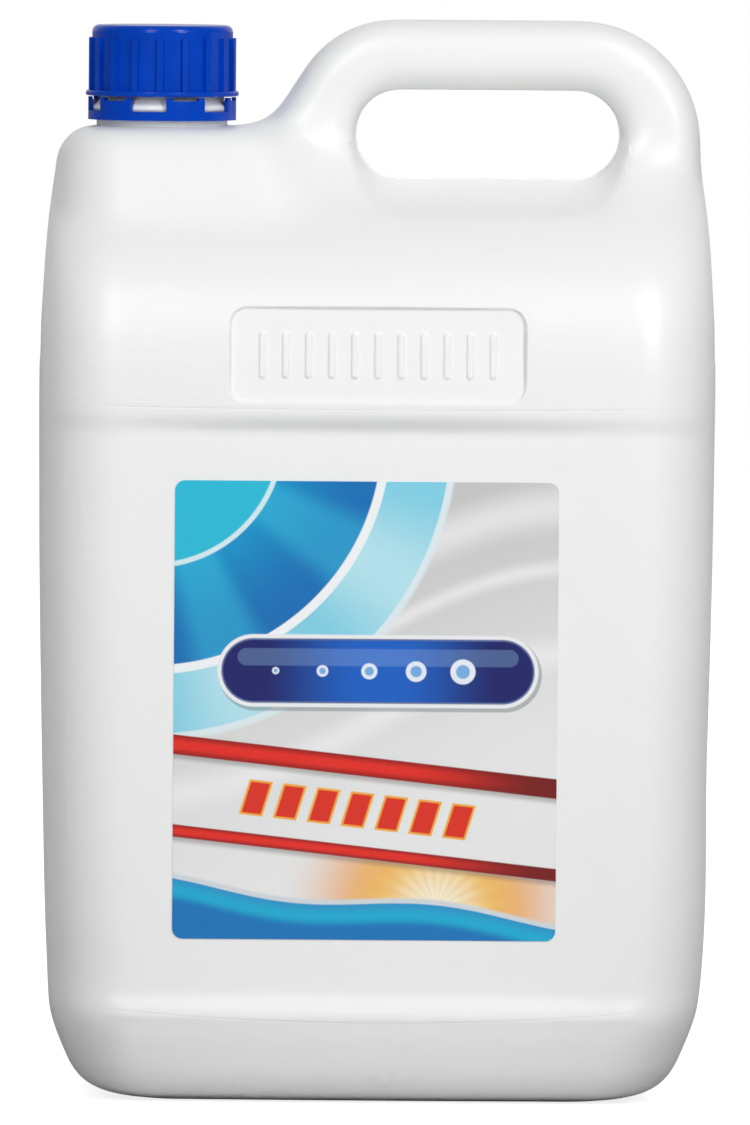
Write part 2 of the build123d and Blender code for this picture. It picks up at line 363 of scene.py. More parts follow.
skin = bpy.data.objects.new("bottle_skin", shell.data)
scene.collection.objects.link(skin)
skin.data = shaped(skin, ("REMESH", {"mode": "VOXEL", "voxel_size": VOXEL, "use_smooth_shade": True}))
refine_plate(skin)
skin.data = shaped(skin, ("SHRINKWRAP", {"target": shell, "wrap_method": "NEAREST_SURFACEPOINT"}))
bpy.data.objects.remove(shell)
print("even skin:", len(skin.data.polygons), "faces")

# %% [markdown]
# The relaxing is done with Blender's Smooth modifier, read as a target only: what counts is how far
# each point would move along its normal. Reading all points at once into an array makes this quick.

# %% Where the points would relax to
def points_of(mesh):
    flat = np.empty(len(mesh.vertices) * 3, np.float32)
    mesh.vertices.foreach_get("co", flat)
    return flat.reshape(-1, 3)


def normals_of(mesh):
    flat = np.empty(len(mesh.vertices) * 3, np.float32)
    mesh.vertex_normals.foreach_get("vector", flat)
    return flat.reshape(-1, 3)


def smoothed(piece, rounds):
    return shaped(piece, ("SMOOTH", {"factor": 0.5, "iterations": rounds}))


def relaxing(piece, rounds):
    """The piece's points, its normals, and how far each point would move outwards."""
    rest, normals = points_of(piece.data), normals_of(piece.data)
    target = points_of(smoothed(piece, rounds))
    return rest, normals, ((target - rest) * normals).sum(axis=1)


def move_points(piece, points, said):
    gone = np.linalg.norm(points - points_of(piece.data), axis=1).max()
    piece.data.vertices.foreach_set("co", points.ravel())
    piece.data.update()
    print(said, round(float(gone) / MM, 2), "mm")


print("the skin has", len(points_of(skin.data)), "points")

# %% [markdown]
# Not every point may move. The plate and the panels have crisp edges on the real bottle, and the hand
# hole has to keep its outline, so masks hold them still. A third mask marks the soft edges of the sill
# under the handle.

# %% Masks for the relaxing
HOLE_LEFT, HOLE_RIGHT = 0.00595, 0.05525      # middles of the hand hole's round ends
HOLE_HEIGHT, HOLE_RADIUS = 0.26965, 0.01265
# Each pair is where a mask starts and where it is full, in metres.
ABOVE_PLATE, ABOVE_STEP = (0.2255, 0.2345), (0.199, 0.215)
BESIDE_PLATE, BEHIND = (0.046, 0.060), (-0.045, -0.030)
OFF_HOLE, OFF_MIDDLE = (0.0005, 0.004), (0.005, 0.011)
SILL_BELOW, SILL_ABOVE = (0.228, 0.238), (0.276, 0.288)
SILL_LEFT, SILL_RIGHT, SILL_EDGE = (-0.040, -0.026), (0.076, 0.086), (0.006, 0.012)


def soft_step(value, start, end):
    share = np.clip((value - start) / (end - start), 0, 1)
    return share * share * (3 - 2 * share)


def relax_mask(points):
    """0 on the plate and the panels, 1 above, beside and behind them."""
    x, y, z = points.T
    beside_or_behind = np.maximum(soft_step(np.abs(x), *BESIDE_PLATE), soft_step(y, *BEHIND))
    return np.maximum(soft_step(z, *ABOVE_PLATE), beside_or_behind * soft_step(z, *ABOVE_STEP))


def from_hole(points):
    """How far each point lies outside the hand hole's outline, seen from the front."""
    x, y, z = points.T
    along = np.maximum(np.maximum(HOLE_LEFT - x, x - HOLE_RIGHT), 0)
    return np.hypot(along, z - HOLE_HEIGHT) - HOLE_RADIUS


def hole_mask(points):
    """0 on the wall of the hand hole, so that it keeps its outline."""
    inner = 1 - soft_step(from_hole(points), *OFF_HOLE)
    return 1 - inner * (1 - soft_step(np.abs(points[:, 1]), *OFF_MIDDLE))


def sill_mask(points):
    """1 round the sill's edges and the ends of the hand hole, apart from its own outline."""
    x, y, z = points.T
    level = soft_step(z, *SILL_BELOW) * (1 - soft_step(z, *SILL_ABOVE))
    along = soft_step(x, *SILL_LEFT) * (1 - soft_step(x, *SILL_RIGHT))
    return level * along * soft_step(np.abs(y), *SILL_EDGE)


held = relax_mask(points_of(skin.data)) == 0
print("plate and panels hold", int(held.sum()), "points still")

# %% [markdown]
# Where a point would move outwards it goes there, and where it would sink it moves by a small share, so
# that the outline keeps its size. Round the sill the real edges are very soft, so there a point may sink
# further, and in the last two turns all the way.

# %% Fill the hollows
# Rounds of smoothing, the share that a point may sink by, and that share round the sill.
TURNS = ((360, 0.1, 0.3), (100, 0.3, 1.0), (80, 0.3, 1.0))


def fill_hollows(piece, rounds, sink_share, sill_share):
    rest, normals, move = relaxing(piece, rounds)
    sink = sink_share + (sill_share - sink_share) * sill_mask(rest)
    move = np.where(move > 0, move, move * sink) * relax_mask(rest) * hole_mask(rest)
    move_points(piece, rest + normals * move[:, None], "hollows and edges eased by up to")


for turn in TURNS:
    fill_hollows(skin, *turn)

# %% [markdown]
# ## The foot's sides
# On the real bottle the narrow sides run into the base in one long curve, fuller on the handle's side.
# The solid has a straight wall that meets the round base in a faint corner. The wall swells a little
# above the corner, and the corner itself is relaxed.

# %% Ease the sides into the base
SWELL_RIGHT, SWELL_LEFT = 1.2 * MM, 0.2 * MM
SWELL_STARTS, SWELL_ENDS, SIDE = (0.018, 0.040), (0.050, 0.100), (0.060, 0.088)
CORNER_STARTS, CORNER_ENDS, CORNER_SIDE = (0.010, 0.018), (0.038, 0.050), (0.066, 0.078)
CORNER_ROUNDS = 160


def swell_sides(piece):
    points = points_of(piece.data).astype(float)
    x, y, z = points.T
    height = soft_step(z, *SWELL_STARTS) * (1 - soft_step(z, *SWELL_ENDS))
    right, left = soft_step(x, *SIDE), soft_step(-x, *SIDE)
    points[:, 0] += height * (SWELL_RIGHT * right - SWELL_LEFT * left)
    move_points(piece, points.astype(np.float32), "sides swollen by up to")


def ease_corner(piece):
    rest, normals, move = relaxing(piece, CORNER_ROUNDS)
    x, y, z = rest.T
    level = soft_step(z, *CORNER_STARTS) * (1 - soft_step(z, *CORNER_ENDS))
    move *= soft_step(np.abs(x), *CORNER_SIDE) * level
    move_points(piece, rest + normals * move[:, None], "corner eased by up to")


swell_sides(skin)
ease_corner(skin)

# %% [markdown]
# The even mesh is far heavier than its shapes need. It is smoothed twice more, lightly, and then a
# collapse keeps small triangles where the surface bends and merges them where it is flat. The fine
# mesh's normals are carried over, so the thinner skin still shades like the fine one. The disc under
# the neck comes out, so that the open mouth shows the inside.

# %% Thin out the skin, keeping its fine normals
SKIN_TRIANGLES = 180000
DISC_RADIUS = COLLAR_RADIUS - 0.6 * MM
DISC_BOTTOM = SHOULDER_TOP - 2 * MM


def in_disc(face):
    return all(from_neck(vert.co) < DISC_RADIUS and vert.co.z > DISC_BOTTOM for vert in face.verts)


def open_neck(piece):
    form = bmesh.new()
    form.from_mesh(piece.data)
    disc = [face for face in form.faces if in_disc(face)]
    bmesh.ops.delete(form, geom=disc, context="FACES")
    form.to_mesh(piece.data)
    form.free()


def thin_out(piece, triangles):
    fine = piece.copy()
    fine.name = "fine_skin"
    fine.data = smoothed(piece, 2)
    scene.collection.objects.link(fine)
    piece.data = fine.data.copy()
    open_neck(piece)
    ratio = triangles / (2 * len(piece.data.polygons))
    piece.data = shaped(piece, ("DECIMATE", {"ratio": ratio}))
    carried = {"object": fine, "use_loop_data": True, "data_types_loops": {"CUSTOM_NORMAL"},
               "loop_mapping": "POLYINTERP_NEAREST"}
    piece.data = shaped(piece, ("DATA_TRANSFER", carried))
    bpy.data.objects.remove(fine)
    print("skin:", len(piece.data.polygons), "faces")


thin_out(skin, SKIN_TRIANGLES)

# %% [markdown]
# ## Neck and inside
# The neck is formed between steel tools and is crisp: a bead, a thread and a lip that seals. Its faces,
# and the inside wall that shows through the mouth when the cap is off, come straight from the solid.

# %% Neck and inside wall
SHARP_ANGLE = math.radians(32)


def neck_and_inside():
    form = joined_form("bottle")
    outside = outer_faces(form, neck_faces(form))
    bmesh.ops.delete(form, geom=list(outside), context="FACES")
    for face in form.faces:
        face.smooth = True
    return object_from(form, "bottle_neck")


neck = neck_and_inside()
neck.data.set_sharp_from_angle(angle=SHARP_ANGLE)
print("neck and inside:", len(neck.data.polygons), "faces")

# %% [markdown]
# ## The parting ridge
# The two halves of the mould meet in the plane through the neck and the handle. Where they pinch the
# plastic inside the hand hole, a thin ridge is left, and it catches the light along the sill. It is too
# thin for the remeshed skin, so it is its own small form: a row of rays from the middle of the hole
# finds the skin, and a rounded bead is laid through the points they hit.

# %% Parting ridge in the hand hole
RIDGE_RADIUS = 0.42 * MM
RIDGE_SUNK = 0.1 * MM                 # how far its middle lies in the skin
RIDGE_POINTS, RIDGE_CORNERS = 240, 10


def hole_rays(count):
    """Starts and directions of rays from the hole's middle line, all the way round it."""
    straight = HOLE_RIGHT - HOLE_LEFT
    rays = []
    for index in range(count):
        share = index / count * 4
        side, along = int(share), share % 1
        if side == 0:
            rays.append((HOLE_LEFT + along * straight, -90))
        elif side == 1:
            rays.append((HOLE_RIGHT, -90 + along * 180))
        elif side == 2:
            rays.append((HOLE_RIGHT - along * straight, 90))
        else:
            rays.append((HOLE_LEFT, 90 + along * 180))
    return rays


def parting_ridge():
    bpy.context.view_layer.update()
    form = bmesh.new()
    rings = []
    for start, angle in hole_rays(RIDGE_POINTS):
        turn = math.radians(angle)
        outward = Vector((math.cos(turn), 0, math.sin(turn)))
        hit, spot, _, _ = skin.ray_cast(Vector((start, 0, HOLE_HEIGHT)), outward)
        assert hit, "a ray missed the hand hole's wall"
        middle = spot + outward * RIDGE_SUNK
        ring = []
        for corner in range(RIDGE_CORNERS):
            lean = math.radians(corner * 360 / RIDGE_CORNERS)
            inward, aside = RIDGE_RADIUS * math.cos(lean), RIDGE_RADIUS * math.sin(lean)
            ring.append(form.verts.new(middle - outward * inward + Vector((0, aside, 0))))
        rings.append(ring)
    for index, ring in enumerate(rings):
        following = rings[(index + 1) % len(rings)]
        for corner in range(RIDGE_CORNERS):
            after = (corner + 1) % RIDGE_CORNERS
            face = form.faces.new((ring[corner], ring[after], following[after], following[corner]))
            face.smooth = True
    bmesh.ops.recalc_face_normals(form, faces=form.faces)
    return object_from(form, "parting_ridge")


ridge = parting_ridge()
print("parting ridge:", [round(v / MM, 1) for v in ridge.dimensions], "mm")

# %% [markdown]
# ## Bottle plastic
# Natural white polyethylene is satin: soft, wide highlights and no mirror. Up close it has a fine orange
# peel from the mould, and its wall waves a little as it cools. Where the wall is drawn thin beside the
# plate and above the label panel it is left with fine level wrinkles. The mould's joints show as hair
# lines: round the bottle through the neck and handle, in a shallow arch above and below the label
# panel, and as a pinched seam across the base. Low down, where it slides on shelves, it is scuffed.

# %% Wrinkles and mould lines, in millimetres
WRINKLES_START, WRINKLES_END = (194.4, 196.0), (197.0, 206.0)            # above the panel
BESIDE_START, BESIDE_END, BESIDE_SIDE = (198.0, 205.0), (216.0, 232.0), (40.0, 46.0)
PANEL_TOP_LINE, PANEL_TOP_ARCH = 194.3, 0.00009
PANEL_FOOT_LINE, PANEL_FOOT_ARCH = 23.8, 0.0006
LINE_HALF_WIDTH, PARTING_HALF_WIDTH, PINCH_HALF_WIDTH = 0.3, 0.35, 0.9
LINE_DEPTH, PARTING_HEIGHT, PINCH_HEIGHT = 0.06, 0.12, 0.35
LINE_FADES, PINCH_FADES = (60.0, 84.0), (1.0, 3.0)


def wrinkles(finish, spot, x, z):
    """Level wrinkles in the thin wall above the panel and beside the plate."""
    fine = finish.noise(finish.stretched(spot, 90.0, 90.0, 800.0), 1.0, detail=3.0, rough=0.6)
    above_panel = (z / MM).rise(*WRINKLES_START) * (1 - (z / MM).rise(*WRINKLES_END))
    level = (z / MM).rise(*BESIDE_START) * (1 - (z / MM).rise(*BESIDE_END))
    beside_plate = (abs(x) / MM).rise(*BESIDE_SIDE) * level
    return fine * (above_panel + beside_plate * 0.5)


def mould_lines(x, y, z):
    """Height of the mould's joints."""
    parting = (y / MM).line(0.0, PARTING_HALF_WIDTH) * PARTING_HEIGHT
    base = 1 - (z / MM).rise(*PINCH_FADES)
    pinch = (y / MM).line(0.0, PINCH_HALF_WIDTH) * base * PINCH_HEIGHT
    arch = (x / MM) ** 2
    top_line = (z / MM - arch * PANEL_TOP_ARCH).line(PANEL_TOP_LINE, LINE_HALF_WIDTH)
    foot_line = (z / MM - arch * PANEL_FOOT_ARCH).line(PANEL_FOOT_LINE, LINE_HALF_WIDTH)
    fading = 1 - (abs(x) / MM).rise(*LINE_FADES)
    return parting + pinch - (top_line + foot_line) * fading * LINE_DEPTH


print("mould lines at", PANEL_TOP_LINE, "and", PANEL_FOOT_LINE, "mm above the floor")

# %% [markdown]
# These heights, the orange peel and the slow ripple go into one bump. The scuffs change only the colour
# and the gloss.

# %% Bottle plastic
PEEL_HEIGHT, RIPPLE_HEIGHT, WRINKLE_HEIGHT = 0.012, 0.10, 0.12
SCUFFS_FADE = (2.0, 18.0)             # heights between which the scuffs thin out
WHITE, SCUFFED = shade(244, 245, 244), shade(226, 226, 222)


def bottle_plastic():
    finish = new_finish("bottle_plastic")
    spot, (x, y, z) = finish.place()
    peel = finish.noise(spot, 700.0, detail=2.0, rough=0.6)
    ripple = finish.noise(spot, 28.0, detail=1.0)
    waves = ripple * RIPPLE_HEIGHT + wrinkles(finish, spot, x, z) * WRINKLE_HEIGHT
    height = peel * PEEL_HEIGHT + waves + mould_lines(x, y, z)
    scuff = finish.noise(spot, 60.0, detail=6.0, rough=0.7).rise(0.58, 0.8)
    low = 1 - (z / MM).rise(*SCUFFS_FADE)
    return finish.surface({
        "Base Color": finish.mix(scuff * (0.15 + low * 0.5), WHITE, SCUFFED),
        "Roughness": 0.30 + peel * 0.08 + scuff * 0.1,
        "IOR": 1.5,
        "Normal": finish.bump(height),
    })


plastic = bottle_plastic()
for piece in (skin, neck, ridge):
    piece.data.materials.clear()
    piece.data.materials.append(plastic)
    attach(piece, "bottle")
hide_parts("bottle")
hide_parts("bottle")
print("bottle plastic has", len(plastic.node_tree.nodes), "nodes")

# %% [markdown]
# ## Cap plastic
# The cap and its band are injection moulded in polypropylene of a clear strong blue. The colour comes
# from deep in the plastic, so highlights are small and the shaded sides of the ribs stay blue. The
# mould flows leave faint clouds, hands leave dull rubbed spots, and the middle of the top has the
# small scar where the plastic came in, inside a shallow ring.

# %% Cap plastic
CAP_DEEP, CAP_BRIGHT, CAP_RUBBED = shade(0, 58, 174), shade(0, 72, 198), shade(20, 100, 212)
RING_RADIUS, RING_HALF_WIDTH, RING_DEPTH = 14.5, 0.5, 0.25
SCAR_EDGE, SCAR_DEPTH = (0.5, 1.1), 0.35
CAP_TOP_FACE = (298.8, 299.3)         # the ring and the scar set in between these heights


def cap_plastic():
    finish = new_finish("cap_plastic")
    spot, (x, y, z) = finish.place()
    cloud = finish.noise(spot, 90.0, detail=3.0)
    grain = finish.noise(spot, 2500.0, detail=2.0)
    rub = finish.noise(spot, 400.0, detail=5.0, rough=0.7).rise(0.6, 0.85)
    away = ((x - NECK_X) ** 2 + y ** 2) ** 0.5 / MM
    top = (z / MM).rise(*CAP_TOP_FACE)
    ring = away.line(RING_RADIUS, RING_HALF_WIDTH) * RING_DEPTH
    scar = (1 - away.rise(*SCAR_EDGE)) * SCAR_DEPTH + ring
    tint = finish.mix(cloud, CAP_DEEP, CAP_BRIGHT)
    return finish.surface({
        "Base Color": finish.mix(rub * 0.2, tint, CAP_RUBBED),
        "Roughness": 0.15 + grain * 0.06 + rub * 0.15,
        "Specular IOR Level": 0.18,
        "Normal": finish.bump(grain * 0.006 + cloud * 0.05 - scar * top),
    })


blue = cap_plastic()
for name in ("cap", "tamper_band"):
    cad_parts[name].material_slots[0].material = blue
print("cap plastic has", len(blue.node_tree.nodes), "nodes")

# %% [markdown]
# ## Sealing disc
# The disc in the cap's roof is a closed-cell foam, matt and slightly grey, with cells well under a
# millimetre. A Voronoi pattern is close to how such cells pack.

# %% Sealing disc
CELLS_PER_METRE = 2600.0
FOAM_DARK, FOAM_PALE = shade(225, 224, 218), shade(244, 243, 238)


def liner_foam():
    finish = new_finish("liner_foam")
    spot, _ = finish.place()
    cells = finish.node("ShaderNodeTexVoronoi", None, {"Vector": spot, "Scale": CELLS_PER_METRE})
    return finish.surface({
        "Base Color": finish.mix(cells.rise(0.0, 0.6), FOAM_DARK, FOAM_PALE),
        "Roughness": 0.7 + cells * 0.1,
        "Normal": finish.bump(cells * 0.05),
    })


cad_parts["cap_liner"].material_slots[0].material = liner_foam()
print("sealing disc has cells of about", round(1 / CELLS_PER_METRE / MM, 2), "mm")

# %% [markdown]
# ## Bleach
# The liquid is seen only down the open neck. It is a pale greenish yellow, and its surface is smooth
# with a slow swirl. The solid is opaque here: refraction would cost much time in a bottle whose walls
# are opaque anyway.

# %% Bleach
BLEACH_DARK, BLEACH_PALE, BLEACH_IOR = shade(222, 228, 190), shade(236, 239, 206), 1.33


def bleach_liquid():
    finish = new_finish("bleach")
    spot, _ = finish.place()
    swirl = finish.noise(spot, 30.0, detail=3.0)
    return finish.surface({
        "Base Color": finish.mix(swirl, BLEACH_DARK, BLEACH_PALE),
        "Roughness": 0.04 + swirl * 0.03,
        "IOR": BLEACH_IOR,
        "Normal": finish.bump(swirl * 0.2),
    })


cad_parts["bleach"].material_slots[0].material = bleach_liquid()

# %% [markdown]
# ## Printing a label
# A label is printed one ink after another, and `Print` works the same way: each `lay` puts a colour
# over what is there, wherever its mask is 1. Its shapes are measured in millimetres from the label's
# middle and its lower edge, which are read from the solid, so the print stays on the film.


# %% A sheet to print on
class Print:
    """A label being printed: the ink so far, and places on it in millimetres."""

    def __init__(self, finish, node, x, z, facing):
        low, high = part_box(node)
        self.finish = finish
        self.across = (x - (low[0] + high[0]) / 2) * (facing / MM)
        self.up = (z - low[2]) / MM
        self.ink = None

    def lay(self, mask, colour):
        self.ink = colour if self.ink is None else self.finish.mix(mask, self.ink, colour)

    def reach(self, across, up):
        return ((self.across - across) ** 2 + (self.up - up) ** 2) ** 0.5

    def rays(self, centre, times):
        """Rays round a point, as waves from 0 to 1 that follow the angle seen from it."""
        across, up = centre
        turn = self.up.sum("ARCTAN2", self.up - up, self.across - across)
        return ((turn * times).sine() + 1.0) * 0.5

    def disc(self, away, radius, soft=0.25):
        return 1 - away.rise(radius - soft, radius + soft)

    def band(self, lower, upper, soft=0.2):
        return (self.up - lower).rise(-soft, soft) * (1 - (self.up - upper).rise(-soft, soft))

    def strip(self, half_width):
        return 1 - abs(self.across).rise(half_width - 0.1, half_width + 0.1)

    def pill(self, across, up, half_width, half_height, grow=0.0):
        """A bar with round ends."""
        along = (abs(self.across - across) - (half_width - half_height)).most(0.0)
        away = (along ** 2 + (self.up - up) ** 2) ** 0.5
        return self.disc(away, half_height + grow, 0.2)


label_low, label_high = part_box("front_label")
print("front label measures", [round(v / MM, 1) for v in label_high - label_low], "mm")

# %% [markdown]
# ## Front label
# The front label is a glossy film in silver, blue, red and amber. Its print here is a plain design of
# its own: a silver ground with soft folds, a fan of blue rays in the upper corner, a blank navy bar
# with a row of growing dots, two slanted red bands with dashes between, an amber glow and a blue wave.

# %% Silver ground and blue fan
SILVER_DARK, SILVER_PALE = shade(200, 201, 200), shade(238, 239, 238)
SILVER_LEAN, SILVER_SPAN = 0.35, (-128.0, -20.0)
FOLDS = ((60.0, 7.0), (84.0, 4.0), (101.0, 9.0))          # each fold's height and half width
FOLD_CLIMB, FOLD_LENGTH, FOLD_SWING, FOLD_SHARE = 0.32, 21.0, 5.0, 0.6
FAN_CENTRE = (-60.0, 140.0)
FAN_RIM, FAN_PALE, FAN_GAP, FAN_DEEP, FAN_LINE, FAN_CORE = 85.0, 83.0, 66.5, 64.0, 37.0, 35.6
FAN_SHADE_SPAN, FAN_RAYS, RAY_SPAN, RAY_SHARE = (14.0, 62.0), 9.0, (0.3, 0.9), 0.35


def silver_ground(sheet):
    slope = sheet.across * SILVER_LEAN - sheet.up
    sheet.lay(None, sheet.finish.mix(slope.rise(*SILVER_SPAN), SILVER_DARK, SILVER_PALE))
    for bend, width in FOLDS:
        middle = bend + sheet.across * FOLD_CLIMB + (sheet.across / FOLD_LENGTH).sine() * FOLD_SWING
        fold = 1 - abs(sheet.up - middle).rise(0.0, width)
        sheet.lay(fold * FOLD_SHARE, shade(250, 250, 250))


def blue_fan(sheet):
    away = sheet.reach(*FAN_CENTRE)
    rays = sheet.rays(FAN_CENTRE, FAN_RAYS)
    deep = sheet.finish.mix(away.rise(*FAN_SHADE_SPAN), shade(0, 176, 220), shade(0, 112, 186))
    pale = sheet.finish.mix(rays, shade(132, 212, 234), shade(184, 232, 243))
    sheet.lay(sheet.disc(away, FAN_RIM, 0.6), shade(226, 240, 244))
    sheet.lay(sheet.disc(away, FAN_PALE), pale)
    sheet.lay(sheet.disc(away, FAN_GAP), shade(246, 250, 251))
    sheet.lay(sheet.disc(away, FAN_DEEP), deep)
    sheet.lay(sheet.disc(away, FAN_DEEP) * rays.rise(*RAY_SPAN) * RAY_SHARE, shade(60, 208, 238))
    sheet.lay(sheet.disc(away, FAN_LINE), shade(214, 240, 246))
    sheet.lay(sheet.disc(away, FAN_CORE), shade(38, 190, 220))


print("the fan reaches", FAN_RIM, "mm from", FAN_CENTRE)

# %% [markdown]
# The bar has a soft shadow, a white edge and a paler line of light along its top, and the dots grow
# from left to right.

# %% Blank navy bar
BAR = (3.4, 74.8, 43.0, 8.5)          # middle across and up, half width and half height
BAR_SHADOW = (4.0, 74.0, 43.0, 8.5)
BAR_SHEEN = (3.4, 78.6, 39.0, 2.4)
BAR_SHADOW_GROWS, BAR_RIM_GROWS, BAR_LINE_GROWS = 1.9, 1.6, 0.5
BAR_SHADOW_SHARE, BAR_SHEEN_SHARE = 0.55, 0.22
BAR_BRIGHT_AT, BAR_BRIGHT_SPAN = 4.0, (4.0, 34.0)
DOTS, FIRST_DOT, DOT_STEP = 5, -25.0, 13.0
DOT_SIZE, DOT_GROWTH, DOT_CORE_SHARE = 1.0, 0.62, 0.55


def navy_bar(sheet):
    sheet.lay(sheet.pill(*BAR_SHADOW, BAR_SHADOW_GROWS) * BAR_SHADOW_SHARE, shade(120, 126, 134))
    sheet.lay(sheet.pill(*BAR, BAR_RIM_GROWS), shade(242, 243, 245))
    sheet.lay(sheet.pill(*BAR, BAR_LINE_GROWS), shade(90, 110, 160))
    glow = 1 - abs(sheet.across - BAR_BRIGHT_AT).rise(*BAR_BRIGHT_SPAN)
    sheet.lay(sheet.pill(*BAR), sheet.finish.mix(glow, shade(16, 24, 104), shade(4, 96, 200)))
    sheet.lay(sheet.pill(*BAR_SHEEN) * BAR_SHEEN_SHARE, shade(150, 190, 240))
    for index in range(DOTS):
        size = DOT_SIZE + DOT_GROWTH * index
        away = sheet.reach(FIRST_DOT + DOT_STEP * index, BAR[1])
        sheet.lay(sheet.disc(away, size, 0.2), shade(236, 242, 250))
        sheet.lay(sheet.disc(away, size * DOT_CORE_SHARE, 0.2), shade(120, 176, 232))


print("the bar is", BAR[2] * 2, "by", BAR[3] * 2, "mm with", DOTS, "dots")

# %% [markdown]
# The red bands lean down to the right. Each is brightest along its middle, darker at its edges and
# towards the right end, as a printed metallic band looks, and casts a soft printed shadow. The dashes
# between them are cut from the same slanted band by a zigzag across the label.

# %% Red bands and dashes
BAND_SLOPE = -0.11
BANDS = ((45.5, 51.0), (22.5, 26.0))  # lower and upper edge of each, at the label's middle
SHADOW_LOWER, SHADOW_UPPER, SHADOW_SOFT, SHADOW_SHARE = 1.2, 0.6, 0.9, 0.5
BAND_EDGE_SPAN, BAND_END_SPAN = (0.2, 1.0), (10.0, 50.0)
DASH_ROW, DASH_MIDDLE, DASH_LEAN, DASH_PITCH, DASHES_REACH = (31.0, 41.0), 36.0, 0.3, 4.7, 33.0
DASH_SHIFT, DASH_HALF_SPAN, DASH_RIM = 2.0, (3.1, 3.4), 0.6


def red_bands(sheet):
    slope = sheet.across * BAND_SLOPE
    for lower, upper in BANDS:
        middle = (lower + upper) / 2
        shadow = sheet.band(slope + (lower - SHADOW_LOWER), slope + (upper - SHADOW_UPPER), SHADOW_SOFT)
        sheet.lay(shadow * SHADOW_SHARE, shade(120, 110, 106))
        fade = abs(sheet.up - slope - middle) / ((upper - lower) / 2)
        red = sheet.finish.mix(fade.rise(*BAND_EDGE_SPAN), shade(232, 40, 26), shade(158, 16, 12))
        dim = sheet.finish.mix(sheet.across.rise(*BAND_END_SPAN), red, shade(122, 10, 8))
        sheet.lay(sheet.band(slope + lower, slope + upper), dim)


def dashes(sheet):
    slope = sheet.across * BAND_SLOPE
    lean = sheet.across - (sheet.up - slope - DASH_MIDDLE) * DASH_LEAN + DASH_SHIFT
    zigzag = lean.sum("PINGPONG", lean, DASH_PITCH)
    ends = 1 - abs(lean).rise(DASHES_REACH, DASHES_REACH + 0.3)
    low, high = DASH_ROW
    full, none = DASH_HALF_SPAN
    for trim, colour in ((0.0, shade(248, 176, 60)), (DASH_RIM, shade(226, 44, 26))):
        row = sheet.band(slope + (low + trim), slope + (high - trim)) * ends
        sheet.lay(row * (1 - zigzag.rise(full - trim, none - trim)), colour)


print(len(BANDS), "red bands, which fall", -BAND_SLOPE, "mm for each mm across")

# %% [markdown]
# The glow is three fading discs with fine rays, held below the lower band. The wave runs along the
# foot of the label in three blues under a pale edge.

# %% Amber glow and foot wave
GLOW_CENTRE, GLOW_RAYS, GLOW_TOP = (20.0, 9.0), 22.0, (22.0, 22.8)
# Where each disc fades, how much of it follows the rays, and its colour.
GLOWS = (((16.0, 44.0), 0.0, shade(244, 170, 84)), ((6.0, 30.0), 0.25, shade(252, 214, 128)),
         ((2.0, 16.0), 0.3, shade(255, 248, 226)))
CREST_HEIGHT, CREST_FALL, CREST_LENGTH, CREST_SWING = 9.0, 0.10, 13.0, 1.8
# How far each ink's edge is above the crest, how soft it is, and its colour.
WAVE_INKS = ((2.4, 0.5, shade(214, 222, 228)), (1.0, 0.2, shade(36, 150, 206)),
             (-0.6, 2.0, shade(10, 176, 216)), (-4.2, 1.6, shade(0, 118, 190)))


def amber_glow(sheet):
    below = 1 - (sheet.up - sheet.across * BAND_SLOPE).rise(*GLOW_TOP)
    away = sheet.reach(*GLOW_CENTRE)
    rays = sheet.rays(GLOW_CENTRE, GLOW_RAYS)
    for span, ray_share, colour in GLOWS:
        sheet.lay(below * (1 - away.rise(*span)) * (1 - ray_share + rays * ray_share), colour)


def foot_wave(sheet):
    swing = (sheet.across / CREST_LENGTH).sine() * CREST_SWING
    crest = CREST_HEIGHT - sheet.across * CREST_FALL + swing
    for rise, soft, colour in WAVE_INKS:
        sheet.lay(1 - (sheet.up - crest - rise).rise(-soft, soft), colour)


print("the wave is printed in", len(WAVE_INKS), "inks")

# %% [markdown]
# The film itself is smooth and glossy. It takes on a little of the waviness of the wall under it, and
# the print has a fine grain.

# %% Front label film
LAYERS = (silver_ground, blue_fan, amber_glow, red_bands, dashes, navy_bar, foot_wave)


def film_surface(finish, spot, sheet):
    grain = finish.noise(spot, 1500.0, detail=2.0)
    ripple = finish.noise(spot, 45.0, detail=1.0)
    return finish.surface({
        "Base Color": finish.mix(grain * 0.01, sheet.ink, shade(200, 200, 200)),
        "Roughness": 0.25 + grain * 0.02,
        "Normal": finish.bump(ripple * 0.05),
    })


def label_front():
    finish = new_finish("label_front_film")
    spot, (x, y, z) = finish.place()
    sheet = Print(finish, "front_label", x, z, 1)
    for layer in LAYERS:
        layer(sheet)
    return film_surface(finish, spot, sheet)


front_film = label_front()
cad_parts["front_label"].material_slots[0].material = front_film
print("front label has", len(front_film.node_tree.nodes), "nodes")

# %% [markdown]
# ## Back label
# The back isn't in the photograph. Such a label carries directions in boxes, so this one has the same
# ground, a blue head with a red line, and three blank boxes.

# %% Back label film
HEAD_DARK_FROM, HEAD_BRIGHT_FROM, RED_LINE = 108.0, 112.0, (104.8, 106.4)
BOXES = ((84.0, 15.5), (46.0, 17.5), (14.5, 9.0))         # middle and half height of each
BOX_HALF_WIDTH, BOX_LINE = 47.0, 0.6


